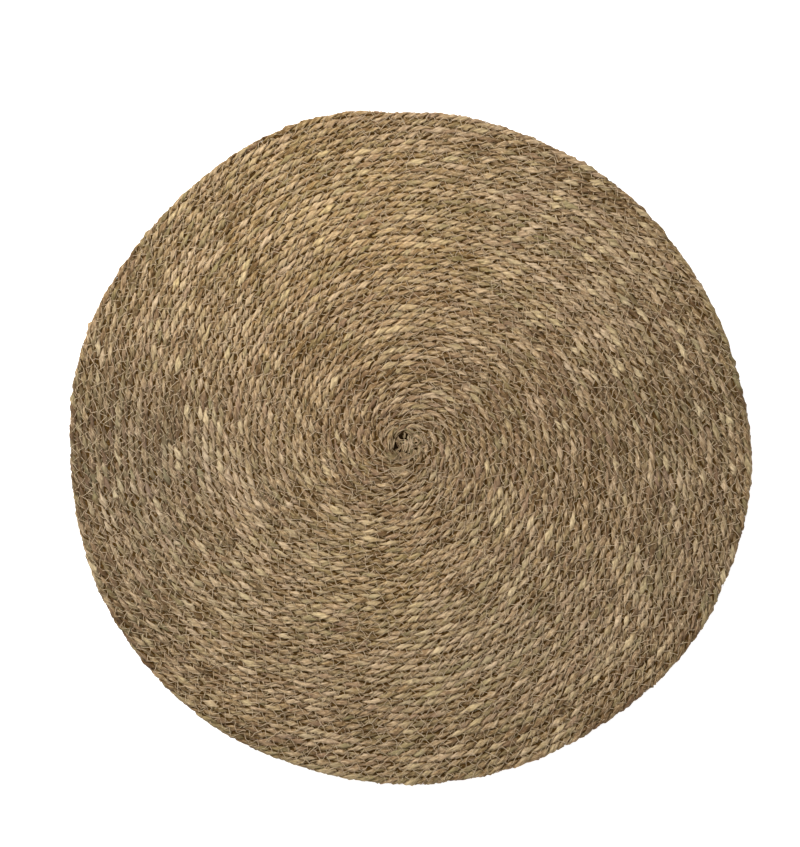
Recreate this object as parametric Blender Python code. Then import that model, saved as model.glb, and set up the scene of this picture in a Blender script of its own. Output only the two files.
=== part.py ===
"""Round seagrass placemat: one two-ply rope wound into a flat spiral and sewn turn to turn.

The mat is a single solid that lies on the XY plane, with its turns raised as one spiral rib on
the upper face. Metres, +Z up, origin at the middle of the flat underside.
"""

import math
from collections import namedtuple

import bmesh
import bpy

# Size of the sewn rope and of the coil that it makes.
ROPE_PITCH = 0.003885
ROPE_HEIGHT = 0.0045
GROOVE_DEPTH = 0.0010
TURNS = 48.39

# The rope is wound clockwise, and its tail thins out against the turn before it.
TAIL_ANGLE = math.radians(92.4)
TAIL_TURNS = 0.02

# The coil starts at an eye that lies off the middle of the mat.
EYE_X = -0.00317
EYE_Y = 0.00142
EYE_DEPTH = 0.0026

# Around the eye the turns are oval, and they lose it within EYE_OVAL_REACH.
EYE_OVAL = 0.00135
EYE_OVAL_ANGLE = math.radians(48.0)
EYE_OVAL_REACH = 0.048
EYE_STIFFNESS = 0.003

# The hand-wound turns are out of round: each row is a number of waves in one turn, with its
# height at the rim, the angle of a crest in degrees and how steeply it grows from eye to rim.
Wave = namedtuple("Wave", "count height angle growth")
WAVES = (
    Wave(count=1, height=0.00351, angle=-31.9, growth=5.0),
    Wave(count=2, height=0.00084, angle=3.0, growth=0.0),
    Wave(count=2, height=0.00071, angle=-38.0, growth=5.0),
    Wave(count=3, height=0.00136, angle=-20.9, growth=1.6),
    Wave(count=4, height=0.00045, angle=-19.7, growth=2.0),
    Wave(count=6, height=0.00049, angle=-17.1, growth=3.0),
    Wave(count=7, height=0.00023, angle=10.2, growth=4.0),
    Wave(count=9, height=0.00030, angle=1.3, growth=4.0),
    Wave(count=12, height=0.00022, angle=-7.2, growth=6.0),
    Wave(count=13, height=0.00015, angle=-5.8, growth=6.0),
)
MEAN_RIM_RADIUS = ROPE_PITCH * (TURNS + 0.5)

# The outermost turn shows its round side: how far in from its widest line, in rope pitches,
# and how high above the underside, in rope heights.
SidePoint = namedtuple("SidePoint", "inset height")
SHOULDER = SidePoint(inset=0.13, height=0.82)
LOWER_SIDE = (
    SidePoint(inset=0.00, height=0.50),
    SidePoint(inset=0.13, height=0.18),
    SidePoint(inset=0.34, height=0.00),
)

# Steps round one turn: a few in the eye and more towards the rim.
EYE_STEPS = 9
RIM_STEPS = 66
LEAST_STEP = 0.006

SEAGRASS_COLOUR = (0.268, 0.183, 0.098, 1.0)
SEAGRASS_ROUGHNESS = 0.85


def clear_scene():
    for obj in list(bpy.data.objects):
        bpy.data.objects.remove(obj)


def coil_angle(turn):
    """Angle at which the coil is after so many turns, counted clockwise and ending at the tail."""
    return TAIL_ANGLE + 2 * math.pi * (TURNS - turn)


def wave_offset(wave, share, angle):
    crest = math.radians(wave.angle)
    return wave.height * share**wave.growth * math.cos(wave.count * (angle - crest))


def out_of_round(radius, angle):
    """How far a turn of that radius lies outside its circle at an angle."""
    share = radius / MEAN_RIM_RADIUS
    offset = sum(wave_offset(wave, share, angle) for wave in WAVES)
    oval = EYE_OVAL * math.exp(-((radius / EYE_OVAL_REACH) ** 2))
    offset += oval * math.cos(2 * (angle - EYE_OVAL_ANGLE))
    return offset * radius / (radius + EYE_STIFFNESS)


def place(turn, radius, height):
    """Point on the mat, from the turns wound so far, the circle's radius there and the height."""
    angle = coil_angle(turn)
    reach = radius + out_of_round(radius, angle)
    return (EYE_X + reach * math.cos(angle), EYE_Y + reach * math.sin(angle), height)


def rope_width(turn):
    """Width of the rope: its pitch all along, and nothing at the tip of the tail."""
    return ROPE_PITCH * min(1.0, max(0.0, (TURNS - turn) / TAIL_TURNS))


def seam_radius(turn):
    """Radius of the seam between a turn and the one before, and past the tail of the shoulder."""
    if turn <= TURNS:
        return ROPE_PITCH * turn
    return ROPE_PITCH * (turn - 1) + rope_width(turn - 1) - SHOULDER.inset * ROPE_PITCH


def seam_height(turn):
    """Height of the seam's groove, which is deepest in the eye, or past the tail of the shoulder."""
    if turn >= TURNS:
        return SHOULDER.height * ROPE_HEIGHT
    deeper_in_eye = (EYE_DEPTH - GROOVE_DEPTH) * max(0.0, 1.0 - turn)
    return ROPE_HEIGHT - GROOVE_DEPTH - deeper_in_eye


def winding_steps():
    """Turn counts from the eye to the tail's tip and on round the rim, finer towards the rim."""
    marks = [1.0, TURNS - TAIL_TURNS, TURNS, TURNS + 1 - TAIL_TURNS, TURNS + 1]
    kept = []
    turn = 0.0
    while turn < TURNS + 1:
        if all(abs(turn - mark) > LEAST_STEP for mark in marks):
            kept.append(turn)
        share = math.sqrt((turn + 1) / (TURNS + 1))
        turn += 1 / (EYE_STEPS + (RIM_STEPS - EYE_STEPS) * share)
    return sorted(kept + marks)


def coil_lines(mesh):
    """The seam line and the crest line of the whole coil, each a list of (turn, vertex)."""
    seam = []
    crest = []
    for turn in winding_steps():
        if turn < TURNS + 1:
            vertex = mesh.verts.new(place(turn, seam_radius(turn), seam_height(turn)))
            seam.append((turn, vertex))
        if turn < TURNS:
            crest_radius = ROPE_PITCH * turn + rope_width(turn) / 2
            vertex = mesh.verts.new(place(turn, crest_radius, ROPE_HEIGHT))
            crest.append((turn, vertex))
    tip = next(vertex for turn, vertex in seam if turn == TURNS)
    return seam + [(TURNS + 1, tip)], crest + [(TURNS, tip)]


def fill_between(mesh, inner, outer):
    """Triangles between two lines of (turn, vertex) that run the same way, the second outside."""
    i = 0
    j = 0
    while i < len(inner) - 1 or j < len(outer) - 1:
        next_inner = inner[i + 1][0] if i < len(inner) - 1 else math.inf
        next_outer = outer[j + 1][0] if j < len(outer) - 1 else math.inf
        if next_inner <= next_outer:
            corners = (inner[i][1], outer[j][1], inner[i + 1][1])
            i += 1
        else:
            corners = (inner[i][1], outer[j][1], outer[j + 1][1])
            j += 1
        if len(set(corners)) == len(corners):
            mesh.faces.new(corners)


def add_upper_face(mesh, seam, crest):
    """The rib's two slopes all along the coil, the floor of the eye and the rope's cut start."""
    fill_between(mesh, [point for point in seam if point[0] <= TURNS], crest)
    fill_between(mesh, crest, [(turn - 1, vertex) for turn, vertex in seam if turn >= 1])
    middle, *floor = [vertex for turn, vertex in seam if turn <= 1]
    for first, second in zip(floor, floor[1:]):
        mesh.faces.new((middle, first, second))
    mesh.faces.new((middle, floor[-1], crest[0][1]))


def add_side(mesh, seam):
    """The outermost turn's round side, down to the flat underside."""
    rim = [(turn, vertex) for turn, vertex in seam if TURNS <= turn < TURNS + 1]
    ring = [vertex for _, vertex in rim]
    for point in LOWER_SIDE:
        out = ROPE_PITCH * (SHOULDER.inset - point.inset)
        lower = [
            mesh.verts.new(place(turn, seam_radius(turn) + out, ROPE_HEIGHT * point.height))
            for turn, _ in rim
        ]
        for k in range(len(ring)):
            after = (k + 1) % len(ring)
            mesh.faces.new((ring[k], lower[k], lower[after], ring[after]))
        ring = lower
    mesh.faces.new(ring)


def seagrass_material():
    material = bpy.data.materials.new("seagrass")
    material.use_nodes = True
    shader = material.node_tree.nodes["Principled BSDF"]
    shader.inputs["Base Color"].default_value = SEAGRASS_COLOUR
    shader.inputs["Roughness"].default_value = SEAGRASS_ROUGHNESS
    return material


def build_mat():
    mesh = bmesh.new()
    seam, crest = coil_lines(mesh)
    add_upper_face(mesh, seam, crest)
    add_side(mesh, seam)
    bmesh.ops.recalc_face_normals(mesh, faces=mesh.faces)
    data = bpy.data.meshes.new("coiled_mat")
    mesh.to_mesh(data)
    mesh.free()
    data.materials.append(seagrass_material())
    mat = bpy.data.objects.new("coiled_mat", data)
    bpy.context.scene.collection.objects.link(mat)


clear_scene()
build_mat()
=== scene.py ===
"""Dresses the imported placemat: twisted strands, loose leaf, the sewing thread and the light."""

import math
from collections import namedtuple

import bpy
import numpy as np
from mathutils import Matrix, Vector


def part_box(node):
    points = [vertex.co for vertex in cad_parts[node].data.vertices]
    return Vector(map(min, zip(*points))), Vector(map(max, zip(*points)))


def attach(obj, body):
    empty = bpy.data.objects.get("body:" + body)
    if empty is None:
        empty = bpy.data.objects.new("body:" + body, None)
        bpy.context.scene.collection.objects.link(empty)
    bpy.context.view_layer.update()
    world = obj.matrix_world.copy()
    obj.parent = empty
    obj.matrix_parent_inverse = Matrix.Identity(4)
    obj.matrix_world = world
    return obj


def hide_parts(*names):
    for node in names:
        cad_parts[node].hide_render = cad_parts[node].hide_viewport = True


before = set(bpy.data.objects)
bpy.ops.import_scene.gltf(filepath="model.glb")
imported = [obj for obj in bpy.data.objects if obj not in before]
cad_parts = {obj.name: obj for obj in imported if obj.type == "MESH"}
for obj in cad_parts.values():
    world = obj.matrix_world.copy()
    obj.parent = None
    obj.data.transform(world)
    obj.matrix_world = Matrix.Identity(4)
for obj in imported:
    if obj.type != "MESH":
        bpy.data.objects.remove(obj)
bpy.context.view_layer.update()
NODE = "coiled_mat"
LOW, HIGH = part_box(NODE)

# The coil, as the solid has it. All sizes are in metres.
ROPE_PITCH = 0.003885
ROPE_HEIGHT = HIGH.z - LOW.z
TURNS = 48.39
TAIL_ANGLE = math.radians(92.4)
TAIL_TURNS = 0.02
EYE_X = -0.00317
EYE_Y = 0.00142
EYE_OVAL = 0.00135
EYE_OVAL_ANGLE = math.radians(48.0)
EYE_OVAL_REACH = 0.048
EYE_STIFFNESS = 0.003
Wave = namedtuple("Wave", "count height angle growth")
WAVES = (
    Wave(count=1, height=0.00351, angle=-31.9, growth=5.0),
    Wave(count=2, height=0.00084, angle=3.0, growth=0.0),
    Wave(count=2, height=0.00071, angle=-38.0, growth=5.0),
    Wave(count=3, height=0.00136, angle=-20.9, growth=1.6),
    Wave(count=4, height=0.00045, angle=-19.7, growth=2.0),
    Wave(count=6, height=0.00049, angle=-17.1, growth=3.0),
    Wave(count=7, height=0.00023, angle=10.2, growth=4.0),
    Wave(count=9, height=0.00030, angle=1.3, growth=4.0),
    Wave(count=12, height=0.00022, angle=-7.2, growth=6.0),
    Wave(count=13, height=0.00015, angle=-5.8, growth=6.0),
)
MEAN_RIM_RADIUS = ROPE_PITCH * (TURNS + 0.5)
ROUTE_STEPS = 9000

# The rope: two strands that turn once round each other in a lay, which is shorter in the eye.
STRANDS = 2
LAY = 0.0163
EYE_LAY_LOSS = 0.0030
EYE_LAY_REACH = 0.040
STRAND_SWELL = 0.06
EYE_THINNING = 0.16
EYE_THINNING_REACH = 0.016
THINNEST_TAIL = 0.5
FIRST_TURN = 1.5
UNDERSIDE_LIFT = 0.00024

# What wanders along the rope: the gap between its random values, and how widely they spread.
Drift = namedtuple("Drift", "gap spread")
LAY_DRIFT = Drift(gap=0.05, spread=0.14)
MOST_LAY_DRIFT = 0.2
PHASE_DRIFT = Drift(gap=0.013, spread=0.62)
SIZE_DRIFT = Drift(gap=0.007, spread=0.14)
PLACE_DRIFT = Drift(gap=0.006, spread=0.00020)
CREASE_DRIFT = Drift(gap=0.0026, spread=0.27)
TONE_DRIFTS = (Drift(gap=0.008, spread=0.5), Drift(gap=0.035, spread=1.0))
HUE_DRIFTS = (Drift(gap=0.012, spread=0.5), Drift(gap=0.09, spread=0.35))
WARMTH_DRIFTS = (Drift(gap=0.016, spread=0.45),)
THREAD_DEPTH_DRIFT = Drift(gap=0.02, spread=0.0002)

# A strand's section is a flattened round: its middle lies STRAND_OFFSET off the rope's middle,
# and it is measured outwards, inwards and across from there.
STRAND_OFFSET = 0.00092
STRAND_OUTWARD = 0.00102
STRAND_INWARD = 0.00095
STRAND_ACROSS = 0.00158
STRAND_SIDES = np.radians([0, 36, 76, 124, 180, 236, 284, 324])
STRAND_STEP = 0.00175
ZONES = ("inner", "second", "third", "outer")

# Some of a strand's humps are of pale leaf, and more of them in small clusters.
STRAW_SHARE = 0.07
STRAW_HALF_LENGTH = 0.0036
STRAW_FADE = 1.8
STRAW_CLUSTERS = 75
STRAW_CLUSTER_SHARE = 0.45
STRAW_CLUSTER_REACH = 0.007
STRAW_STRENGTH = (0.35, 0.85)
STRAW_PLUMPNESS = 0.15

# The outermost turns get painted shade, darker towards the rim, and the last has less painted
# crevice shade, as light reaches its low sides.
SHADED_RIM_TURNS = 4.0
RIM_PAINTED_SHADE = 0.9
RIM_CREVICE_SHADE = 0.75

# Around the eye the leaf is duller and more olive, and holds no pale leaf.
EYE_OLIVE_REACH = 0.011
EYE_DULLNESS = 0.4
EYE_OLIVE = 0.8
EYE_WITHOUT_STRAW = 0.3

# Broad patches of lighter, duller, warmer or greyer leaf, placed in millimetres.
MILLIMETRE = 0.001
Patch = namedtuple("Patch", "x y reach tone hue warmth")
PATCHES = (
    Patch(x=75, y=20, reach=50, tone=-0.6, hue=-0.2, warmth=0.0),
    Patch(x=148, y=20, reach=48, tone=-1.3, hue=0.3, warmth=-1.2),
    Patch(x=-162, y=2, reach=50, tone=-1.7, hue=0.3, warmth=-1.6),
    Patch(x=-30, y=30, reach=35, tone=-0.6, hue=-0.5, warmth=0.5),
    Patch(x=5, y=-5, reach=35, tone=-0.2, hue=-0.3, warmth=-0.4),
    Patch(x=-50, y=135, reach=75, tone=0.75, hue=0.2, warmth=2.0),
    Patch(x=15, y=-120, reach=50, tone=1.15, hue=0.3, warmth=0.3),
    Patch(x=-55, y=-72, reach=42, tone=0.7, hue=0.2, warmth=0.0),
    Patch(x=-150, y=-96, reach=30, tone=-0.8, hue=0.4, warmth=-0.8),
    Patch(x=158, y=-66, reach=45, tone=-0.5, hue=0.1, warmth=-1.2),
    Patch(x=96, y=82, reach=45, tone=0.7, hue=-0.2, warmth=-0.2),
    Patch(x=18, y=105, reach=50, tone=0.6, hue=0.0, warmth=1.0),
    Patch(x=-12, y=-66, reach=40, tone=0.1, hue=0.0, warmth=1.2),
    Patch(x=65, y=-105, reach=50, tone=-0.2, hue=0.0, warmth=-0.7),
    Patch(x=-140, y=-35, reach=55, tone=0.0, hue=0.0, warmth=-1.2),
    Patch(x=52, y=-22, reach=38, tone=-0.65, hue=-0.1, warmth=0.0),
)

# Frays of leaf and the sewing thread have three sides.
THREE_SIDES = np.radians([30, 150, 270])

# Leaf comes loose in slivers that lie on the strands, and in frays that lie across them. A pair
# of shares gives the least and the most of a size, and three values are for a leaf's two edges
# and its ridge.
SLIVERS = 900
SLIVER_HALF_LENGTH = 0.0034
SLIVER_LENGTHS = (0.6, 1.5)
SLIVER_HALF_WIDTH = 0.00036
SLIVER_WIDTHS = (0.6, 1.6)
SLIVER_TURN_SPREAD = 0.6
SLIVER_SLANT_SPREAD = 0.35
SLIVER_LIFT = 0.00030
SLIVER_MIDDLE_LIFT = 1.1
SLIVER_END_DROP = 0.35
SLIVER_EDGE_LIFTS = np.array([-0.00012, -0.00012, 0.00006])
SLIVER_BLUNTNESS = 0.02
SLIVER_STEPS = 5
FRAYS = 12000
FRAY_HALF_LENGTH = 0.0028
FRAY_LENGTHS = (0.5, 1.6)
FRAY_HALF_WIDTH = 0.00025
FRAY_WIDTHS = (0.5, 1.6)
FRAY_HALF_THICKNESS = 0.00012
FRAY_SLOPE = 0.30
FRAY_SLOPE_SPREAD = 0.75
FRAY_BEND = 0.0007
FRAY_SUNK = 0.00022
FRAY_SUNK_MORE = 0.00025
FRAY_DROP = 0.0006
FRAY_REACH_AT_RIM = 0.42
FRAY_BLUNTNESS = 0.1
FRAY_STEPS = 3
LOOSE_FROM_START = 0.004
LOOSE_FROM_TAIL = 0.03

# Girth is the place round a strand or a leaf, in turns, at which its streaks are looked up. The
# strands are STRAND_GIRTH apart, and loose leaves start anywhere in GIRTH_RANGE.
STRAND_GIRTH = 3.0
GIRTH_RANGE = 20
LOOSE_GIRTHS = np.array([0.0, 0.12, 0.06])

# The looks of loose leaf: the middle and the spread of each, and how much of it is pale.
LOOSE_TONE = (0.5, 1.0)
LOOSE_HUE = (0.0, 0.7)
LOOSE_WARMTH = (0.0, 0.6)
LOOSE_STRAW = 0.7
LOOSE_STRAW_SHARE = 0.12

# The sewing thread zigzags over each seam, from hole to hole. Each stitch starts in a hole and
# crosses the seam at three shares of its length.
THREAD_RADIUS = 0.000158
STITCH = 0.0040
STITCH_SHARES = (0.0, 0.22, 0.5, 0.78)
STITCH_BOW = 0.0001
STITCH_REACH = 0.0023
STITCH_REACH_SPREAD = 0.0006
HOLE_SCATTER = 0.0010
MOST_HOLE_SCATTER = 0.0018
HOLE_DEPTH = 0.0003
HOLE_DEPTH_SPREAD = 0.00015
THREAD_SUNK = -0.00016
THREAD_SUNK_MORE = 0.00045
THREAD_WANDER = 0.00032
SUNK_SIDE = math.radians(130)
FIRST_SEWN_TURN = 2.4

# The rope's first leaves lie crossed over the eye. Each row gives a leaf's line and width in
# millimetres, seen from above, the height of its top in rope heights, and its looks.
EyeLeaf = namedtuple("EyeLeaf", "start middle end width top tone hue straw")
EYE_LEAVES = (
    EyeLeaf((-9.9, -0.4), (-9.8, 2.4), (-9.2, 5.1), 1.7, 1.00, 0.9, 0.7, 0.3),
    EyeLeaf((-10.6, -0.6), (-8.2, -2.6), (-5.6, 1.6), 0.6, 0.97, 1.2, 0.0, 0.3),
    EyeLeaf((-7.6, 5.9), (-6.6, 2.5), (-5.2, -0.5), 1.9, 0.84, -0.2, -0.8, 0.0),
    EyeLeaf((-8.0, 6.6), (-5.8, 4.6), (-3.0, 4.4), 1.4, 0.82, 0.0, -0.5, 0.0),
    EyeLeaf((-3.6, 8.4), (-3.0, 6.8), (-3.2, 5.0), 1.2, 0.84, 0.0, 0.6, 0.0),
    EyeLeaf((-3.0, 5.2), (-2.4, 1.2), (-3.9, -2.8), 2.1, 0.95, 0.8, 0.5, 0.1),
    EyeLeaf((-0.6, 6.0), (-0.1, 2.5), (-0.8, -1.0), 1.5, 0.86, -0.1, -0.6, 0.0),
    EyeLeaf((1.5, 7.5), (1.9, 3.5), (1.2, -0.5), 1.9, 0.86, -0.5, 1.6, 0.0),
    EyeLeaf((2.8, 1.0), (4.3, 2.4), (6.2, 4.2), 0.6, 1.04, 1.4, 0.0, 0.3),
    EyeLeaf((3.8, 1.0), (5.8, -0.9), (7.6, -3.0), 0.9, 1.06, 1.0, 0.3, 0.3),
    EyeLeaf((4.6, 0.6), (5.1, -1.6), (4.9, -4.2), 0.8, 1.04, 0.9, 0.2, 0.2),
    EyeLeaf((1.2, -1.2), (2.6, -3.0), (3.0, -5.4), 1.8, 0.95, 0.7, 0.2, 0.2),
    EyeLeaf((-6.6, -7.4), (-1.6, -6.2), (3.6, -3.2), 2.0, 1.02, 0.6, -0.2, 0.1),
    EyeLeaf((-6.4, -3.2), (-8.4, -5.8), (-11.2, -8.0), 0.9, 1.06, 1.2, 0.4, 0.1),
    EyeLeaf((-6.2, -4.2), (-6.6, -6.4), (-6.5, -8.8), 0.8, 1.04, 1.0, 0.3, 0.1),
    EyeLeaf((-14.6, -3.0), (-11.8, -5.4), (-8.8, -7.6), 2.0, 1.03, -0.9, 1.8, 0.0),
    EyeLeaf((-12.8, -1.6), (-10.6, -3.8), (-7.8, -5.6), 1.8, 0.96, -0.9, 1.6, 0.0),
    EyeLeaf((-10.2, -2.4), (-8.6, -4.4), (-7.2, -7.6), 1.6, 0.92, -1.0, 1.4, 0.0),
    EyeLeaf((-15.4, 5.2), (-13.3, 9.4), (-9.8, 12.4), 1.8, 1.05, 1.0, -0.2, 0.2),
    EyeLeaf((-10.6, 9.2), (-9.9, 10.9), (-9.0, 12.4), 0.9, 1.10, 1.4, 0.0, 0.5),
    EyeLeaf((-6.9, 13.7), (-0.8, 15.2), (6.1, 15.2), 1.7, 1.08, 1.2, 0.0, 0.5),
    EyeLeaf((-9.0, 6.2), (-6.9, 9.3), (-2.6, 10.9), 2.0, 1.00, 0.6, 0.1, 0.1),
    EyeLeaf((-8.8, 4.8), (-7.7, 7.3), (-5.0, 9.2), 1.3, 0.94, 0.3, 0.2, 0.0),
    EyeLeaf((-12.4, -11.8), (-6.0, -11.8), (0.3, -9.0), 1.9, 1.08, 1.0, 0.4, 0.5),
    EyeLeaf((-11.0, -14.0), (-5.0, -14.0), (1.0, -11.6), 1.7, 1.06, 0.9, 0.3, 0.5),
    EyeLeaf((-0.8, 12.4), (3.0, 11.2), (6.0, 8.4), 1.9, 1.02, 0.5, 0.4, 0.0),
    EyeLeaf((5.4, 8.4), (7.4, 5.2), (7.6, 1.6), 1.7, 1.04, 0.2, 1.0, 0.0),
    EyeLeaf((2.4, 8.8), (4.9, 6.3), (6.2, 3.0), 1.6, 0.98, 0.0, 1.3, 0.0),
    EyeLeaf((-1.0, 8.2), (1.6, 8.2), (4.0, 6.6), 1.6, 0.92, 0.2, 0.6, 0.0),
    EyeLeaf((-4.8, -1.0), (-4.0, -3.6), (-1.4, -5.2), 1.7, 0.92, -0.3, -0.4, 0.0),
    EyeLeaf((-5.8, -2.4), (-5.2, -4.8), (-3.0, -6.4), 1.5, 0.90, 0.1, -0.3, 0.0),
    EyeLeaf((-11.4, -2.0), (-11.6, 1.8), (-10.9, 6.0), 1.7, 0.98, 0.5, 0.6, 0.0),
    EyeLeaf((-1.6, 0.6), (0.2, -2.0), (0.6, -4.8), 1.6, 0.88, -0.2, 0.8, 0.0),
    EyeLeaf((-3.4, 10.2), (-1.2, 9.6), (1.6, 7.6), 2.2, 0.88, 0.3, 0.2, 0.0),
    EyeLeaf((-2.6, 8.6), (-0.6, 8.2), (1.2, 6.4), 1.8, 0.84, -0.2, 0.5, 0.0),
    EyeLeaf((-4.9, 3.4), (-4.4, 0.4), (-5.0, -2.6), 1.9, 0.84, -0.2, 0.1, 0.0),
    EyeLeaf((-2.8, 0.8), (-1.0, -1.2), (-1.3, -3.8), 1.9, 0.85, 0.2, 0.2, 0.0),
    EyeLeaf((-5.0, -3.2), (-3.2, -4.2), (-0.8, -4.4), 1.9, 0.84, 0.0, -0.3, 0.0),
    EyeLeaf((-8.8, -1.6), (-7.2, -3.2), (-5.2, -3.6), 1.6, 0.86, -0.4, 0.4, 0.0),
)
BLADE_STEPS = 9
BLADE_SIDES = np.radians([0, 60, 120, 180, 240, 300])
BLADE_HALF_THICKNESS = 0.0005
BLADE_DROP = 0.0009
BLADE_BLUNTNESS = 0.04

# Each is split into strips side by side, out to STRIP_REACH of its width and scattered by some
# millimetres. Their looks are the row's times STRIP_TONE and STRIP_HUE, give or take a spread.
STRIPS = 4
STRIP_REACH = 0.4
STRIP_SCATTER = 0.26
STRIP_WIDTHS = (0.18, 0.36)
STRIP_TOP_SPREAD = 0.07
STRIP_TONE = 2.0
STRIP_TONE_SPREAD = 1.2
STRIP_HUE = 0.7
STRIP_HUE_SPREAD = 0.6

# Shorter leaves fill the eye under them and close it from below, and ends of thread lie on top:
# how many, where in millimetres, half length, width and height. Their looks have a middle and
# a spread, and their lengths and bends are shares of the half length.
EyeFill = namedtuple("EyeFill", "count middle spread reach width top")
EYE_FILLERS = EyeFill(100, (1.8, 1.2), (3.0, 3.8), 2.0, 0.75, (0.50, 0.96))
EYE_UNDERSIDE = EyeFill(70, (-3.2, 1.4), (2.6, 2.6), 3.6, 1.1, (0.25, 0.32))
EYE_ENDS = EyeFill(12, (1.5, 1.2), (3.0, 3.8), 3.4, 0.32, (0.95, 1.08))
FILL_LENGTHS = (0.5, 1.3)
FILL_BEND = 0.3
FILL_TONE = (0.1, 1.4)
FILL_HUE = (0.4, 0.8)

# The imported heart of the rope, a dark sheet of painted shade between the strands, fills this part
# of the rope's height and of the mat's width.
CORE_LOW = 0.22
CORE_HIGH = 0.69
CORE_WIDTH = 0.993

# The sides of the tubes are mapped in rows of so many steps, or in cells in so many columns, each
# inside a margin.
MAP_MARGIN = 0.04
ROPE_ROW = 124
UPPER_THREAD_ROW = 260
LOWER_THREAD_ROW = 150
LOOSE_COLUMNS = 24
BLADE_COLUMNS = 4

# The photograph's frame, and the camera over it.
IMAGE_WIDTH = 800
IMAGE_HEIGHT = 847
MAT_CENTRE_COLUMN = 410.5
MAT_CENTRE_ROW = 447.5
METRES_PER_PIXEL = 0.0005592
CAMERA_HEIGHT = 1.6
SENSOR = 36.0

# The light: an even bright room, a soft lamp, and a floor just below the mat that glows a little.
WORLD_STRENGTH = 0.75
LAMP_SIZE = 0.95
LAMP_POWER = 15.0
LAMP_PLACE = (-0.48, 0.52, 0.75)
FLOOR_SIZE = 6.0
FLOOR_GAP = 0.0003
FLOOR_GLOW = 0.6

# Colours of the light, of dry seagrass leaf, of painted shade in the crevices, in the rope's heart
# and in the eye's pit, of the thread and of the floor.
WHITE = (1, 1, 1, 1)
DARK_LEAF = (0.10, 0.053, 0.019, 1)
MID_LEAF = (0.335, 0.226, 0.113, 1)
LIGHT_LEAF = (0.55, 0.404, 0.252, 1)
STRAW_LEAF = (0.58, 0.45, 0.25, 1)
OLIVE_LEAF = (0.25, 0.205, 0.096, 1)
BROWN_LEAF = (0.255, 0.158, 0.096, 1)
# Painted shade for the crevices between the strands and between the turns.
CREVICE_SHADE_LEAF = (0.205, 0.105, 0.026, 1)
# Painted shade for the rope's heart, and painted near-black shade for the eye's pit.
HEART_SHADE = (0.17, 0.092, 0.028, 1)
PIT_SHADE = (0.018, 0.010, 0.004, 1)
PALE_THREAD = (0.56, 0.43, 0.285, 1)
DULL_THREAD = (0.38, 0.28, 0.17, 1)
FLOOR = (0.93, 0.93, 0.93, 1)

# Streaks wind with a strand's leaves, once round it in a lay: how long they are, how many lie
# round the strand and how much they count in its lightness. Grain is noise of so many specks a
# metre, with its own weight.
LEAF_TWIST = 1 / LAY
Streak = namedtuple("Streak", "length count weight")
BROAD_STREAKS = Streak(length=0.010, count=3.5, weight=0.45)
CREASES = Streak(length=0.004, count=10.0, weight=1.5)
FIBRES = Streak(length=0.006, count=26.0, weight=0.7)
Grain = namedtuple("Grain", "scale weight")
PATCH_GRAIN = Grain(scale=90.0, weight=0.5)
REGION_GRAIN = Grain(scale=22.0, weight=0.4)
HUE_GRAIN = Grain(scale=400.0, weight=0.5)
TONE_WEIGHT = 0.78
CREASE_HUE = 0.25
CREASE_RELIEF = 0.8
FIBRE_RELIEF = 0.3
THREAD_GRAIN_SCALE = 160.0
SPUN_GRAIN_SCALE = 3500.0
CLUMP_GRAIN_SCALE = 1100.0
CLUMP_DETAIL = 5.0
NOISE_ROUGHNESS = 0.55

# A ramp turns a value between low and high into one between to_low and to_high.
Ramp = namedtuple("Ramp", "low high to_low to_high", defaults=(0.0, 1.0))
NOISE_RAMP = Ramp(0.28, 0.72, -1.0, 1.0)
LIGHT_RAMP = Ramp(0.0, 1.8)
DARK_RAMP = Ramp(0.0, -1.8)
OLIVE_RAMP = Ramp(0.1, 1.6, 0.0, 0.8)
BROWN_RAMP = Ramp(-0.1, -1.6, 0.0, 0.8)
STRAW_RAMP = Ramp(-1.2, 0.5, 0.3, 1.0)
# How far the painted crevice shade darkens the leaf, from its share of the rope's mid height.
CREVICE_SHADE_RAMP = Ramp(0.3, 0.95, 0.0, 0.56)
SATURATION_RAMP = Ramp(-4.0, 4.0, 0.8, 1.2)
THREAD_RAMP = Ramp(-0.8, 0.8)
PIT_RAMP = Ramp(0.0065, 0.010)
CLUMP_RAMP = Ramp(-1.0, 1.0, 0.0, 0.65)

# How deep the fine relief of each material is, and how rough and how shiny its surface is.
Relief = namedtuple("Relief", "strength distance")
LEAF_RELIEF = Relief(strength=0.6, distance=0.0006)
THREAD_RELIEF = Relief(strength=0.5, distance=0.0001)
HEART_RELIEF = Relief(strength=1.0, distance=0.0008)
Finish = namedtuple("Finish", "roughness specular")
LEAF_FINISH = Finish(roughness=0.62, specular=0.14)
THREAD_FINISH = Finish(roughness=0.7, specular=0.1)
MATT_FINISH = Finish(roughness=0.9, specular=0.0)

rng = np.random.default_rng(20)


def drift(length, kind):
    """A smooth random curve along a length, as a function of the distance."""
    knots = np.arange(-kind.gap, length + 3 * kind.gap, kind.gap)
    values = rng.normal(0.0, kind.spread, len(knots))

    def curve(distance):
        at = (distance - knots[0]) / kind.gap
        index = np.clip(at.astype(int), 0, len(knots) - 2)
        share = at - index
        blend = share * share * (3 - 2 * share)
        return values[index] * (1 - blend) + values[index + 1] * blend

    return curve


def coil_angle(turn):
    """Angle at which the coil is after so many turns, counted clockwise and ending at the tail."""
    return TAIL_ANGLE + 2 * math.pi * (TURNS - turn)


def out_of_round(radius, angle):
    """How far a turn of that radius lies outside its circle at an angle."""
    share = radius / MEAN_RIM_RADIUS
    oval = EYE_OVAL * np.exp(-((radius / EYE_OVAL_REACH) ** 2))
    offset = oval * np.cos(2 * (angle - EYE_OVAL_ANGLE))
    for wave in WAVES:
        swing = np.cos(wave.count * (angle - math.radians(wave.angle)))
        offset = offset + wave.height * share**wave.growth * swing
    return offset * radius / (radius + EYE_STIFFNESS)


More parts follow.
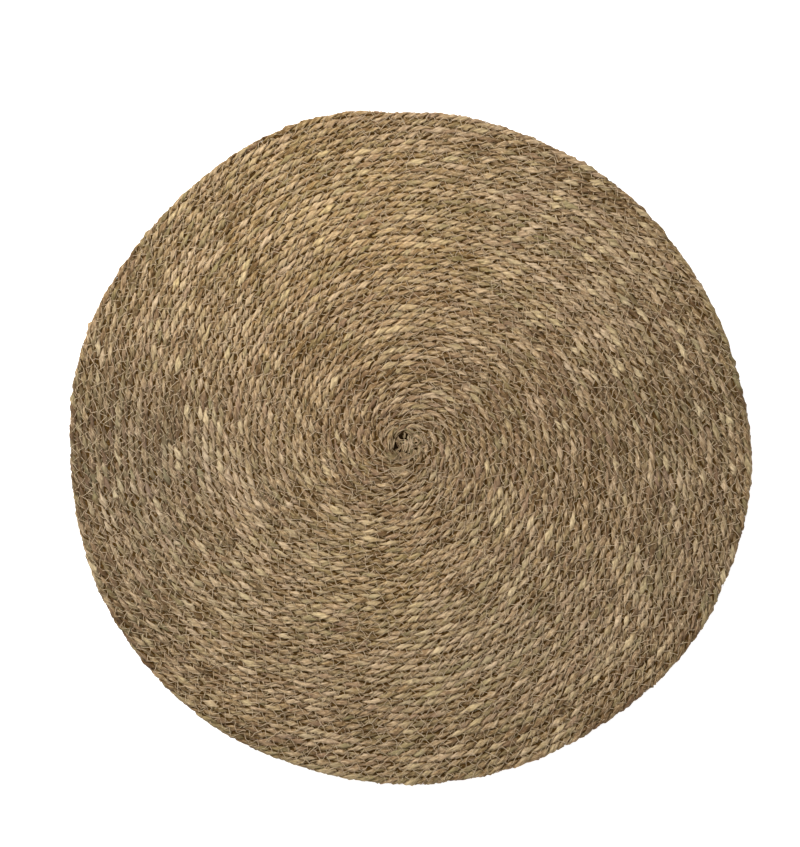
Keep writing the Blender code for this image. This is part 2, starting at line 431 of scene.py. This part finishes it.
def place(turn, radius, height):
    """Points on the mat, from the turns wound so far, the circle's radius there and the height."""
    angle = coil_angle(turn)
    radius = np.maximum(radius, 0.0)
    reach = radius + out_of_round(radius, angle)
    x = EYE_X + reach * np.cos(angle)
    y = EYE_Y + reach * np.sin(angle)
    return np.stack(np.broadcast_arrays(x, y, height), axis=-1)


def place_on_rope(turn, offset=0.0, height=0.0):
    """Points that lie off the rope's middle by an offset outwards."""
    return place(turn, ROPE_PITCH * (turn + 0.5) + offset, height)


def rope_width(turn):
    """Width of the rope: its pitch all along, and nothing at the tip of the tail."""
    return ROPE_PITCH * np.clip((TURNS - turn) / TAIL_TURNS, 0.0, 1.0)


def lengths_along(turns, radii):
    """Distance along the line through those turns and radii, at each of them."""
    steps = np.linalg.norm(np.diff(place(turns, radii, 0.0), axis=0), axis=1)
    return np.concatenate([[0.0], np.cumsum(steps)])


def tapered(along, bluntness):
    """Share of a leaf's width along it, from -1 to 1, with ends as blunt as that."""
    return np.sqrt(1 + bluntness - along**2)


class Rope:
    """The rope's route and twist, and the shape of its strands, at distances along it."""

    def __init__(self):
        self.turns = np.linspace(FIRST_TURN, TURNS, ROUTE_STEPS)
        radii = ROPE_PITCH * self.turns + rope_width(self.turns) / 2
        self.lengths = lengths_along(self.turns, radii)
        self.length = self.lengths[-1]
        lay = LAY - EYE_LAY_LOSS * np.exp(-ROPE_PITCH * self.turns / EYE_LAY_REACH)
        uneven = drift(self.length, LAY_DRIFT)(self.lengths)
        lay = lay * (1 + np.clip(uneven, -MOST_LAY_DRIFT, MOST_LAY_DRIFT))
        twists = np.concatenate([[0.0], np.cumsum(np.diff(self.lengths) / lay[:-1])])
        self.phases = drift(self.length, PHASE_DRIFT)(self.lengths) - 2 * math.pi * twists
        self.sizes = [drift(self.length, SIZE_DRIFT) for _ in range(STRANDS)]
        self.sways = [drift(self.length, PLACE_DRIFT) for _ in range(STRANDS)]
        self.lifts = [drift(self.length, PLACE_DRIFT) for _ in range(STRANDS)]

    def turn(self, distance):
        return np.interp(distance, self.lengths, self.turns)

    def phase(self, distance, strand):
        return np.interp(distance, self.lengths, self.phases) + math.pi * strand

    def nearest_top(self, distance, strand):
        """The place nearest to each distance where the strand crosses the rope's top."""
        off_top = self.phase(distance, strand) - math.pi / 2
        off_top = (off_top + math.pi) % (2 * math.pi) - math.pi
        return distance + off_top / (2 * math.pi) * LAY

    def surface(self, distance, strand, psi, size=0.0, lift=0.0):
        """Points at angle psi round a strand's own section, made larger by size and by a lift."""
        turn = self.turn(distance)
        edge = ROPE_PITCH * turn + rope_width(turn)
        width = np.maximum(rope_width(turn), THINNEST_TAIL * ROPE_PITCH)
        phase = self.phase(distance, strand)
        scale = 1 + self.sizes[strand](distance) + size - STRAND_SWELL * np.cos(2 * phase)
        scale = scale - EYE_THINNING * np.exp(-((ROPE_PITCH * turn / EYE_THINNING_REACH) ** 2))
        depth = np.where(np.cos(psi) > 0, STRAND_OUTWARD, STRAND_INWARD)
        outward = STRAND_OFFSET + (depth * scale + lift) * np.cos(psi)
        across = (STRAND_ACROSS * scale + lift) * np.sin(psi)
        rope_radius = STRAND_OFFSET + STRAND_OUTWARD
        sideways = outward * np.cos(phase) - across * np.sin(phase) + self.sways[strand](distance)
        upward = outward * np.sin(phase) + across * np.cos(phase) + self.lifts[strand](distance)
        u = sideways / rope_radius * width / 2
        v = upward / rope_radius * width / ROPE_PITCH
        height = LOW.z + np.maximum(ROPE_HEIGHT / 2 * (1 + v), UNDERSIDE_LIFT)
        return place(turn, edge - width / 2 + u, height)


def add_row_map(data, shape, per_row, columns):
    """Lays the tubes' sides out in the unit square as cells, each of per_row steps of one tube."""
    tube, step, side = np.indices(shape).reshape(3, -1)
    cells_per_tube = math.ceil(shape[1] / per_row)
    cell = tube * cells_per_tube + step // per_row
    rows = math.ceil(shape[0] * cells_per_tube / columns)
    along = ((step % per_row)[:, None] + np.array([0, 0, 1, 1])) / per_row
    round_it = (side[:, None] + np.array([0, 1, 1, 0])) / shape[2]
    inside = 1 - 2 * MAP_MARGIN
    across = ((cell % columns)[:, None] + MAP_MARGIN + inside * along) / columns
    up = ((cell // columns)[:, None] + MAP_MARGIN + inside * round_it) / rows
    corners = np.stack([across, up], axis=-1).reshape(-1, 2)
    caps = np.zeros((2 * shape[0] * shape[2], 2))
    layer = data.uv_layers.new(name="OFBake")
    layer.uv.foreach_set("vector", np.concatenate([corners, caps]).astype(np.float32).ravel())


def tubes_mesh(name, rings, attributes, per_row, columns=1):
    """Closed tubes, from points in an array of tubes, rings along each and sides round it."""
    tubes, steps, sides = rings.shape[:3]
    index = np.arange(tubes * steps * sides).reshape(tubes, steps, sides)
    after = np.roll(index, -1, axis=2)
    corners = [index[:, :-1], after[:, :-1], after[:, 1:], index[:, 1:]]
    quads = np.stack(corners, axis=-1).reshape(-1, 4)
    caps = np.concatenate([index[:, 0, ::-1], index[:, -1]])
    data = bpy.data.meshes.new(name)
    data.from_pydata(rings.reshape(-1, 3).tolist(), [], quads.tolist() + caps.tolist())
    for look, values in attributes.items():
        values = np.broadcast_to(values, rings.shape[:3]).astype(np.float32)
        data.attributes.new(look, "FLOAT", "POINT").data.foreach_set("value", values.ravel())
    add_row_map(data, (tubes, steps - 1, sides), per_row, columns)
    data.shade_smooth()
    thing = bpy.data.objects.new(name, data)
    bpy.context.scene.collection.objects.link(thing)
    return thing


def rings_round(centres, half_width, half_thickness, sides):
    """Level oval rings round lines of points, in an array of lines and points."""
    forward = np.gradient(centres, axis=1)
    forward /= np.linalg.norm(forward, axis=-1, keepdims=True)
    sideways = np.cross(forward, np.array([0.0, 0.0, 1.0]))
    sideways /= np.linalg.norm(sideways, axis=-1, keepdims=True)
    upward = np.cross(sideways, forward)
    shape = centres.shape[:2]
    across = np.broadcast_to(half_width, shape)[:, :, None, None] * np.cos(sides)[:, None]
    up = np.broadcast_to(half_thickness, shape)[:, :, None, None] * np.sin(sides)[:, None]
    return centres[:, :, None] + sideways[:, :, None] * across + upward[:, :, None] * up


def patch_looks(points):
    """What the broad patches add to the lightness, hue and warmth at points."""
    looks = np.zeros((3, *points.shape[:-1]))
    for patch in PATCHES:
        middle = MILLIMETRE * np.array([patch.x, patch.y])
        off = np.linalg.norm(points[..., :2] - middle, axis=-1) / (MILLIMETRE * patch.reach)
        strengths = (patch.tone, patch.hue, patch.warmth)
        looks += np.multiply.outer(strengths, np.exp(-(off**2)))
    return looks


def straw_humps(rope, distance, strand, clusters):
    """Share of pale leaf along a strand: single humps of it, and more of them in the clusters."""
    tops = np.sort(rope.nearest_top(np.arange(LAY, rope.length, LAY), strand))
    middles = place_on_rope(rope.turn(tops))[:, None, :2]
    gap = np.linalg.norm(middles - clusters, axis=-1).min(axis=1)
    likely = STRAW_SHARE + STRAW_CLUSTER_SHARE * np.exp(-((gap / STRAW_CLUSTER_REACH) ** 2))
    strength = rng.uniform(*STRAW_STRENGTH, len(tops)) * (rng.uniform(0, 1, len(tops)) < likely)
    nearest = np.searchsorted((tops[1:] + tops[:-1]) / 2, distance)
    off = np.abs(distance - tops[nearest]) / STRAW_HALF_LENGTH
    return strength[nearest] * np.clip(STRAW_FADE - off, 0, 1)


def strand_looks(rope, distance, strand, clusters):
    """Lightness, with painted shade on the outermost turns, hue, warmth and pale leaf along one
    strand.
    """
    tone, hue, warmth = (
        sum(drift(rope.length, kind)(distance) for kind in kinds)
        for kinds in (TONE_DRIFTS, HUE_DRIFTS, WARMTH_DRIFTS)
    )
    turn = rope.turn(distance)
    patch_tone, patch_hue, patch_warmth = patch_looks(place_on_rope(turn))
    olive = np.exp(-((ROPE_PITCH * turn / EYE_OLIVE_REACH) ** 2))
    # Painted shade: the leaf is darker over the last turns, most at the rim.
    rim = np.clip(1 - (TURNS - turn) / SHADED_RIM_TURNS, 0.0, 1.0)
    straw = straw_humps(rope, distance, strand, clusters)
    return {
        "tone": tone + patch_tone - EYE_DULLNESS * olive - RIM_PAINTED_SHADE * rim,
        "hue": hue + patch_hue + EYE_OLIVE * olive,
        "warmth": warmth + patch_warmth,
        "straw": straw * (olive < EYE_WITHOUT_STRAW),
    }


def cut_rope(rings, attributes):
    """The strands as one piece for each zone of the mat, from the eye out to the tail."""
    pieces = []
    cuts = np.linspace(0, rings.shape[1] - 1, len(ZONES) + 1).astype(int)
    for zone, first, last in zip(ZONES, cuts, cuts[1:]):
        span = slice(first, last + 1)
        own = {
            name: np.broadcast_to(values, rings.shape[:3])[:, span]
            for name, values in attributes.items()
        }
        pieces.append(tubes_mesh(f"rope_{zone}", rings[:, span], own, ROPE_ROW))
    return pieces


def make_rope(rope):
    """The strands of the whole coil."""
    distance = np.linspace(0.0, rope.length, round(rope.length / STRAND_STEP))
    clusters = rng.uniform(LOW.x, HIGH.x, (STRAW_CLUSTERS, 2))
    rings = []
    looks = []
    for strand in range(STRANDS):
        looks.append(strand_looks(rope, distance, strand, clusters))
        creases = [drift(rope.length, CREASE_DRIFT)(distance) for _ in STRAND_SIDES]
        size = np.stack(creases, axis=1) + STRAW_PLUMPNESS * looks[-1]["straw"][:, None]
        rings.append(rope.surface(distance[:, None], strand, STRAND_SIDES, size))
    rings = np.stack(rings)
    # Painted shade in the crevices: strongest at the rope's mid height, where strands meet each
    # other and the next turn, and weaker on the last turn's open side.
    crevice_shade = 1 - np.abs((rings[..., 2] - LOW.z) / (ROPE_HEIGHT / 2) - 1)
    crevice_shade[:, rope.turn(distance) > TURNS - 1] *= RIM_CREVICE_SHADE
    girth = STRAND_SIDES / (2 * math.pi) + STRAND_GIRTH * np.arange(STRANDS)[:, None, None]
    attributes = {"along": distance[None, :, None], "girth": girth, "crevice_shade": crevice_shade}
    for look in looks[0]:
        attributes[look] = np.stack([strand[look] for strand in looks])[:, :, None]
    return cut_rope(rings, attributes)


def loose_middles(rope, count):
    """Random distances along the rope, clear of its two ends."""
    return rng.uniform(LOOSE_FROM_START, rope.length - LOOSE_FROM_TAIL, count)


def loose_attributes(distance, rings):
    """The attributes of loose leaves, with looks that are random but follow the patches."""
    girth = rng.uniform(0, GIRTH_RANGE, len(rings))[:, None, None] + LOOSE_GIRTHS
    starts = rings[:, :1, :1]
    shape = starts.shape[:-1]
    patch_tone, patch_hue, patch_warmth = patch_looks(starts)
    return {
        "along": distance[:, :, None],
        "girth": girth,
        "tone": rng.normal(*LOOSE_TONE, shape) + patch_tone,
        "hue": rng.normal(*LOOSE_HUE, shape) + patch_hue,
        "warmth": rng.normal(*LOOSE_WARMTH, shape) + patch_warmth,
        "straw": LOOSE_STRAW * (rng.uniform(0, 1, shape) > 1 - LOOSE_STRAW_SHARE),
    }


def make_slivers(rope):
    """Narrow slivers of leaf that lie loose on the tops of the strands."""
    middle = loose_middles(rope, SLIVERS)
    strand = rng.integers(0, STRANDS, SLIVERS)
    middle = rope.nearest_top(middle, strand)
    half = SLIVER_HALF_LENGTH * rng.uniform(*SLIVER_LENGTHS, SLIVERS)
    start_psi = rng.normal(0.0, SLIVER_TURN_SPREAD, SLIVERS)
    slant = rng.normal(0.0, SLIVER_SLANT_SPREAD, SLIVERS)
    width = SLIVER_HALF_WIDTH * rng.uniform(*SLIVER_WIDTHS, SLIVERS)
    along = np.linspace(-1.0, 1.0, SLIVER_STEPS)
    distance = np.clip(middle[:, None] + half[:, None] * along, 0.0, rope.length)
    psi = start_psi[:, None] + slant[:, None] * along
    taper = tapered(along, SLIVER_BLUNTNESS)
    half_psi = width[:, None] * taper / STRAND_ACROSS
    lift = SLIVER_LIFT * (SLIVER_MIDDLE_LIFT * taper - SLIVER_END_DROP)
    psi_ring = psi[:, :, None] + half_psi[:, :, None] * np.array([-1.0, 1.0, 0.0])
    lift_ring = lift[None, :, None] + SLIVER_EDGE_LIFTS
    rings = np.empty((SLIVERS, SLIVER_STEPS, 3, 3))
    for number in range(STRANDS):
        own = strand == number
        rings[own] = rope.surface(distance[own][:, :, None], number, psi_ring[own], 0.0, lift_ring)
    attributes = loose_attributes(distance, rings)
    return tubes_mesh("leaf_slivers", rings, attributes, SLIVER_STEPS - 1, LOOSE_COLUMNS)


def nearness_to_sunk_side(turn):
    """From 1 on the side of the mat where thread and frays lie deepest to 0 across from it."""
    return (0.5 + 0.5 * np.cos(coil_angle(turn) - SUNK_SIDE)) ** 2


def make_frays(rope):
    """Loose ends of leaf that lie across the strands and seams, at the height of their tops."""
    middle = loose_middles(rope, FRAYS)
    across = rng.uniform(-0.5, 0.5, FRAYS) * ROPE_PITCH
    slope = rng.normal(FRAY_SLOPE, FRAY_SLOPE_SPREAD, FRAYS)
    half = FRAY_HALF_LENGTH * rng.uniform(*FRAY_LENGTHS, FRAYS) / np.hypot(1, slope)
    bend = rng.normal(0.0, FRAY_BEND, FRAYS)
    along = np.linspace(-1.0, 1.0, FRAY_STEPS)
    distance = middle[:, None] + half[:, None] * along
    offset = across[:, None] + (slope * half)[:, None] * along + bend[:, None] * along**2
    turn = rope.turn(distance)
    outermost = np.minimum(offset, FRAY_REACH_AT_RIM * ROPE_PITCH)
    offset = np.where(turn > TURNS - 1, outermost, offset)
    sunk = np.abs(rng.normal(0.0, FRAY_SUNK, FRAYS))[:, None] + FRAY_DROP * along**2
    sunk += FRAY_SUNK_MORE * nearness_to_sunk_side(turn)
    centres = place_on_rope(turn, offset, HIGH.z - sunk)
    taper = tapered(along, FRAY_BLUNTNESS)
    width = FRAY_HALF_WIDTH * rng.uniform(*FRAY_WIDTHS, FRAYS)[:, None] * taper
    rings = rings_round(centres, width, FRAY_HALF_THICKNESS * taper, THREE_SIDES)
    attributes = loose_attributes(distance, rings)
    return tubes_mesh("leaf_frays", rings, attributes, FRAY_STEPS - 1, LOOSE_COLUMNS)


def seam_lines():
    """Turns along the seam from the first that is sewn, and the distance along it there."""
    turns = np.linspace(FIRST_SEWN_TURN, TURNS, ROUTE_STEPS)
    return turns, lengths_along(turns, ROPE_PITCH * turns)


def thread_holes(length):
    """Where the thread passes through the mat: distance along the seam and offset from it."""
    at = np.arange(0.0, length, STITCH)
    side = np.where(np.arange(len(at)) % 2 == 0, 1.0, -1.0)
    scatter = rng.normal(0.0, HOLE_SCATTER, len(at))
    at = at + np.clip(scatter, -MOST_HOLE_SCATTER, MOST_HOLE_SCATTER)
    return at, side * (STITCH_REACH + rng.normal(0.0, STITCH_REACH_SPREAD, len(at)))


def make_thread(name, turn, offset, height, per_row):
    """One thread through points that lie off the seam by an offset."""
    centres = place(turn, ROPE_PITCH * turn + offset, height)
    rings = rings_round(centres[None], THREAD_RADIUS, THREAD_RADIUS, THREE_SIDES)
    return tubes_mesh(name, rings, {}, per_row)


def make_upper_thread():
    """The zigzag on the upper face: it dips into each hole and crosses the seam in the air."""
    turns, lengths = seam_lines()
    hole, reach = thread_holes(lengths[-1])
    count = len(hole) - 1
    sunk = THREAD_SUNK + THREAD_SUNK_MORE * nearness_to_sunk_side(np.interp(hole, lengths, turns))
    sunk = (sunk + np.abs(drift(lengths[-1], THREAD_DEPTH_DRIFT)(hole)))[:-1]
    in_hole = HOLE_DEPTH + np.abs(rng.normal(0.0, HOLE_DEPTH_SPREAD, count))
    along = []
    offset = []
    for share in STITCH_SHARES:
        wander = rng.normal(0.0, THREAD_WANDER, (2, count)) * (share > 0)
        along.append(hole[:-1] + share * np.diff(hole) + wander[0])
        offset.append(reach[:-1] + share * np.diff(reach) + wander[1])
    depth = [in_hole, sunk, sunk - STITCH_BOW, sunk]
    along, offset, depth = (np.stack(rows, axis=1).ravel() for rows in (along, offset, depth))
    turn = np.interp(along, lengths, turns)
    return make_thread("thread_upper", turn, offset, HIGH.z - depth, UPPER_THREAD_ROW)


def make_lower_thread():
    """The zigzag on the underside, straight from hole to hole."""
    turns, lengths = seam_lines()
    hole, reach = thread_holes(lengths[-1])
    turn = np.interp(hole, lengths, turns)
    return make_thread("thread_lower", turn, reach, LOW.z + THREAD_RADIUS, LOWER_THREAD_ROW)


def crossed_leaves(fill):
    """Rows of short leaves or ends, at random over the eye."""
    rows = []
    for _ in range(fill.count):
        middle = rng.normal(fill.middle, fill.spread)
        angle = rng.uniform(0, math.pi)
        heading = np.array([math.cos(angle), math.sin(angle)])
        half = fill.reach * rng.uniform(*FILL_LENGTHS) * heading
        bend = rng.normal(0.0, FILL_BEND * fill.reach, 2)
        looks = (rng.normal(*FILL_TONE), rng.normal(*FILL_HUE), 0.0)
        line = (middle - half, middle + bend, middle + half)
        rows.append(EyeLeaf(*line, fill.width, rng.uniform(*fill.top), *looks))
    return rows


def split_leaf(leaf):
    """A leaf's row as a few narrower strips beside each other."""
    start, middle, end = (np.array(point) for point in leaf[:3])
    heading = (end - start) / np.linalg.norm(end - start)
    sideways = np.array([-heading[1], heading[0]])
    rows = []
    for across in np.linspace(-STRIP_REACH, STRIP_REACH, STRIPS):
        line = [point + sideways * across * leaf.width for point in (start, middle, end)]
        line = [point + rng.normal(0.0, STRIP_SCATTER, 2) for point in line]
        width = leaf.width * rng.uniform(*STRIP_WIDTHS)
        top = leaf.top + rng.normal(0.0, STRIP_TOP_SPREAD)
        tone = STRIP_TONE * leaf.tone + rng.normal(0.0, STRIP_TONE_SPREAD)
        hue = STRIP_HUE * leaf.hue + rng.normal(0.0, STRIP_HUE_SPREAD)
        rows.append(EyeLeaf(*line, width, top, tone, hue, leaf.straw))
    return rows


def make_blades(name, leaves, half_thickness):
    """Flat tapered leaves along the curved lines that the rows give."""
    rows = {field: np.array([getattr(leaf, field) for leaf in leaves]) for field in EyeLeaf._fields}
    start, middle, end = (rows[part][:, None] * MILLIMETRE for part in ("start", "middle", "end"))
    share = np.linspace(0.0, 1.0, BLADE_STEPS)
    along = 2 * share - 1
    blend = share[:, None]
    control = 2 * middle - (start + end) / 2
    line = (1 - blend) ** 2 * start + 2 * blend * (1 - blend) * control + blend**2 * end
    z = LOW.z + rows["top"][:, None] * ROPE_HEIGHT - half_thickness - BLADE_DROP * along**4
    z = np.maximum(z, LOW.z + half_thickness)
    centres = np.concatenate([line, z[:, :, None]], axis=-1)
    taper = tapered(along, BLADE_BLUNTNESS)
    half_width = rows["width"][:, None] * MILLIMETRE / 2 * taper
    rings = rings_round(centres, half_width, half_thickness * taper, BLADE_SIDES)
    length = np.linalg.norm(end - start, axis=-1)[:, :, None]
    girth = BLADE_SIDES / math.pi * rows["width"][:, None, None] / 2
    attributes = {look: rows[look][:, None, None] for look in ("tone", "hue", "straw")}
    attributes["along"] = length * share[None, :, None]
    attributes["girth"] = girth + rng.uniform(0, GIRTH_RANGE, (len(leaves), 1, 1))
    return tubes_mesh(name, rings, attributes, BLADE_STEPS - 1, BLADE_COLUMNS)


def make_eye():
    """The leaves that lie crossed over the eye, and the thread's first ends."""
    fillers = crossed_leaves(EYE_FILLERS) + crossed_leaves(EYE_UNDERSIDE)
    strips = [strip for leaf in EYE_LEAVES for strip in split_leaf(leaf)]
    leaves = make_blades("eye_leaves", strips + fillers, BLADE_HALF_THICKNESS)
    return leaves, make_blades("eye_thread_ends", crossed_leaves(EYE_ENDS), THREAD_RADIUS)


def make_core():
    """The rope's heart between the strands, a dark sheet that stands for the shade there: the
    solid's own form, flattened.
    """
    core = bpy.data.objects.new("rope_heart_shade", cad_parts[NODE].data.copy())
    bpy.context.scene.collection.objects.link(core)
    for vertex in core.data.vertices:
        share = (vertex.co.z - LOW.z) / ROPE_HEIGHT
        vertex.co.z = LOW.z + ROPE_HEIGHT * (CORE_LOW + (CORE_HIGH - CORE_LOW) * share)
        vertex.co.x *= CORE_WIDTH
        vertex.co.y *= CORE_WIDTH
    core.data.materials.clear()
    return core


def add_node(tree, kind, settings, inputs):
    """The first output of a new shader node with those settings and input values or links."""
    made = tree.nodes.new(kind)
    for name, value in settings.items():
        setattr(made, name, value)
    for name, value in inputs.items():
        if isinstance(value, bpy.types.NodeSocket):
            tree.links.new(value, made.inputs[name])
        else:
            made.inputs[name].default_value = value
    return next(output for output in made.outputs if output.enabled)


def attribute(tree, name):
    made = tree.nodes.new("ShaderNodeAttribute")
    made.attribute_name = name
    return made.outputs["Fac"]


def object_position(tree):
    return tree.nodes.new("ShaderNodeTexCoord").outputs["Object"]


def calculate(tree, operation, first, second):
    return add_node(tree, "ShaderNodeMath", {"operation": operation}, {0: first, 1: second})


def weighted_sum(tree, *terms):
    """The sum of (value, weight) pairs."""
    total = 0.0
    for value, weight in terms:
        total = calculate(tree, "ADD", calculate(tree, "MULTIPLY", value, weight), total)
    return total


def rescale(tree, value, ramp):
    """A value sent through a ramp, and held within the ramp's ends."""
    names = ("From Min", "From Max", "To Min", "To Max")
    return add_node(tree, "ShaderNodeMapRange", {}, {"Value": value, **dict(zip(names, ramp))})


def mix_colour(tree, share, first, second):
    """The first colour where the share is 0, and the second where it is 1."""
    made = tree.nodes.new("ShaderNodeMix")
    made.data_type = "RGBA"
    tree.links.new(share, made.inputs["Factor"])
    for name, value in (("A", first), ("B", second)):
        socket = next(s for s in made.inputs if s.name == name and s.type == "RGBA")
        if isinstance(value, bpy.types.NodeSocket):
            tree.links.new(value, socket)
        else:
            socket.default_value = value
    return next(output for output in made.outputs if output.type == "RGBA")


def noise(tree, vector, scale, dimensions, detail=2.0):
    """Noise from -1 to 1."""
    inputs = {"Vector": vector, "Scale": scale, "Detail": detail, "Roughness": NOISE_ROUGHNESS}
    value = add_node(tree, "ShaderNodeTexNoise", {"noise_dimensions": dimensions}, inputs)
    return rescale(tree, value, NOISE_RAMP)


def streaks(tree, along, girth, kind):
    """Noise in streaks of that kind, which wind round a strand as its leaves do."""
    turned = calculate(tree, "SUBTRACT", girth, calculate(tree, "MULTIPLY", along, LEAF_TWIST))
    x = calculate(tree, "MULTIPLY", along, 1 / kind.length)
    y = calculate(tree, "MULTIPLY", turned, kind.count)
    vector = add_node(tree, "ShaderNodeCombineXYZ", {}, {"X": x, "Y": y})
    return noise(tree, vector, 1.0, "2D")


def new_material(name, finish):
    """A new material of that finish, with its node tree and its shader."""
    material = bpy.data.materials.new(name)
    material.use_nodes = True
    shader = material.node_tree.nodes["Principled BSDF"]
    shader.inputs["Roughness"].default_value = finish.roughness
    shader.inputs["Specular IOR Level"].default_value = finish.specular
    return material, material.node_tree, shader


def add_relief(tree, shader, relief, height):
    """Fine bumps on a shader, as the height goes."""
    inputs = {"Strength": relief.strength, "Distance": relief.distance, "Height": height}
    tree.links.new(add_node(tree, "ShaderNodeBump", {}, inputs), shader.inputs["Normal"])


def leaf_colour(tree, level, hue, crease):
    """Colour of dry leaf, from how light it is, from brown to olive, and its creases, with painted
    shade in the crevices between strands and turns.
    """
    colour = mix_colour(tree, rescale(tree, level, LIGHT_RAMP), MID_LEAF, LIGHT_LEAF)
    colour = mix_colour(tree, rescale(tree, level, DARK_RAMP), colour, DARK_LEAF)
    colour = mix_colour(tree, rescale(tree, hue, OLIVE_RAMP), colour, OLIVE_LEAF)
    colour = mix_colour(tree, rescale(tree, hue, BROWN_RAMP), colour, BROWN_LEAF)
    patchy = rescale(tree, crease, STRAW_RAMP)
    straw = calculate(tree, "MULTIPLY", attribute(tree, "straw"), patchy)
    colour = mix_colour(tree, straw, colour, STRAW_LEAF)
    # Painted crevice shade: the leaf is mixed towards a dark brown at the rope's mid height.
    crevice_shade = rescale(tree, attribute(tree, "crevice_shade"), CREVICE_SHADE_RAMP)
    colour = mix_colour(tree, crevice_shade, colour, CREVICE_SHADE_LEAF)
    saturation = rescale(tree, attribute(tree, "warmth"), SATURATION_RAMP)
    inputs = {"Saturation": saturation, "Color": colour}
    return add_node(tree, "ShaderNodeHueSaturation", {}, inputs)


def leaf_material():
    """Dry leaf: light and dark streaks, patches of olive and brown, runs of pale straw, and painted
    shade in the crevices.
    """
    material, tree, shader = new_material("seagrass_leaf", LEAF_FINISH)
    along = attribute(tree, "along")
    girth = attribute(tree, "girth")
    broad = streaks(tree, along, girth, BROAD_STREAKS)
    crease = streaks(tree, along, girth, CREASES)
    fibre = streaks(tree, along, girth, FIBRES)
    position = object_position(tree)
    patch, region, tint = (
        noise(tree, position, grain.scale, "3D") for grain in (PATCH_GRAIN, REGION_GRAIN, HUE_GRAIN)
    )
    level = weighted_sum(
        tree,
        (attribute(tree, "tone"), TONE_WEIGHT),
        (broad, BROAD_STREAKS.weight),
        (crease, CREASES.weight),
        (fibre, FIBRES.weight),
        (patch, PATCH_GRAIN.weight),
        (region, REGION_GRAIN.weight),
    )
    hue = weighted_sum(
        tree, (attribute(tree, "hue"), 1.0), (tint, HUE_GRAIN.weight), (crease, CREASE_HUE)
    )
    tree.links.new(leaf_colour(tree, level, hue, crease), shader.inputs["Base Color"])
    height = weighted_sum(tree, (crease, CREASE_RELIEF), (fibre, FIBRE_RELIEF))
    add_relief(tree, shader, LEAF_RELIEF, height)
    return material


def thread_material():
    """Pale spun thread, duller in places."""
    material, tree, shader = new_material("sewing_thread", THREAD_FINISH)
    position = object_position(tree)
    dulled = rescale(tree, noise(tree, position, THREAD_GRAIN_SCALE, "3D"), THREAD_RAMP)
    colour = mix_colour(tree, dulled, PALE_THREAD, DULL_THREAD)
    tree.links.new(colour, shader.inputs["Base Color"])
    add_relief(tree, shader, THREAD_RELIEF, noise(tree, position, SPUN_GRAIN_SCALE, "3D"))
    return material


def heart_shade_material():
    """Painted shade for the rope's heart: dark brown, near black in the pit of the eye and in
    random clumps.
    """
    material, tree, shader = new_material("painted_shade_heart", MATT_FINISH)
    position = object_position(tree)
    ends = {0: position, 1: (EYE_X, EYE_Y, LOW.z)}
    off_eye = add_node(tree, "ShaderNodeVectorMath", {"operation": "DISTANCE"}, ends)
    # Painted shade: near black within the eye's pit, dark brown further out.
    colour = mix_colour(tree, rescale(tree, off_eye, PIT_RAMP), PIT_SHADE, HEART_SHADE)
    clump = noise(tree, position, CLUMP_GRAIN_SCALE, "3D", CLUMP_DETAIL)
    # Random clumps of painted near-black shade.
    colour = mix_colour(tree, rescale(tree, clump, CLUMP_RAMP), colour, PIT_SHADE)
    tree.links.new(colour, shader.inputs["Base Color"])
    add_relief(tree, shader, HEART_RELIEF, clump)
    return material


def make_floor():
    """A pale floor that gives a little light of its own, as a light table does."""
    bpy.ops.mesh.primitive_plane_add(size=FLOOR_SIZE, location=(0, 0, LOW.z - FLOOR_GAP))
    floor = bpy.context.object
    floor.name = "floor"
    material, _, shader = new_material("floor", MATT_FINISH)
    shader.inputs["Base Color"].default_value = FLOOR
    shader.inputs["Emission Color"].default_value = FLOOR
    shader.inputs["Emission Strength"].default_value = FLOOR_GLOW
    floor.data.materials.append(material)


def add_lamp():
    """A soft round lamp that faces the middle of the mat."""
    data = bpy.data.lights.new("lamp", "AREA")
    data.shape = "DISK"
    data.size = LAMP_SIZE
    data.energy = LAMP_POWER
    lamp = bpy.data.objects.new("lamp", data)
    lamp.location = LAMP_PLACE
    lamp.rotation_euler = (-Vector(LAMP_PLACE)).to_track_quat("-Z", "Y").to_euler()
    bpy.context.scene.collection.objects.link(lamp)


def set_light():
    world = bpy.data.worlds.new("studio")
    bpy.context.scene.world = world
    world.use_nodes = True
    background = world.node_tree.nodes["Background"]
    background.inputs["Color"].default_value = WHITE
    background.inputs["Strength"].default_value = WORLD_STRENGTH
    add_lamp()
    bpy.context.scene.view_settings.view_transform = "Standard"


def set_camera():
    """Straight down over the photograph's middle, at the photograph's scale."""
    data = bpy.data.cameras.new("camera")
    data.sensor_fit = "VERTICAL"
    data.sensor_height = SENSOR
    data.lens = SENSOR * (CAMERA_HEIGHT - ROPE_HEIGHT) / (IMAGE_HEIGHT * METRES_PER_PIXEL)
    camera = bpy.data.objects.new("camera", data)
    middle_x = (IMAGE_WIDTH / 2 - MAT_CENTRE_COLUMN) * METRES_PER_PIXEL
    middle_y = (MAT_CENTRE_ROW - IMAGE_HEIGHT / 2) * METRES_PER_PIXEL
    camera.location = (middle_x, middle_y, CAMERA_HEIGHT)
    bpy.context.scene.collection.objects.link(camera)
    bpy.context.scene.camera = camera


def dress(things, material):
    """Gives pieces their material, and has them stand for the solid on the one body."""
    for thing in things:
        thing.data.materials.append(material)
        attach(thing, "root")
        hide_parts(NODE)


def main():
    set_camera()
    rope = Rope()
    leaf = make_rope(rope)
    eye_leaves, eye_thread_ends = make_eye()
    leaf += [make_slivers(rope), make_frays(rope), eye_leaves]
    threads = [make_upper_thread(), make_lower_thread(), eye_thread_ends]
    core = make_core()
    dress(leaf, leaf_material())
    dress(threads, thread_material())
    dress([core], heart_shade_material())
    make_floor()
    set_light()


main()
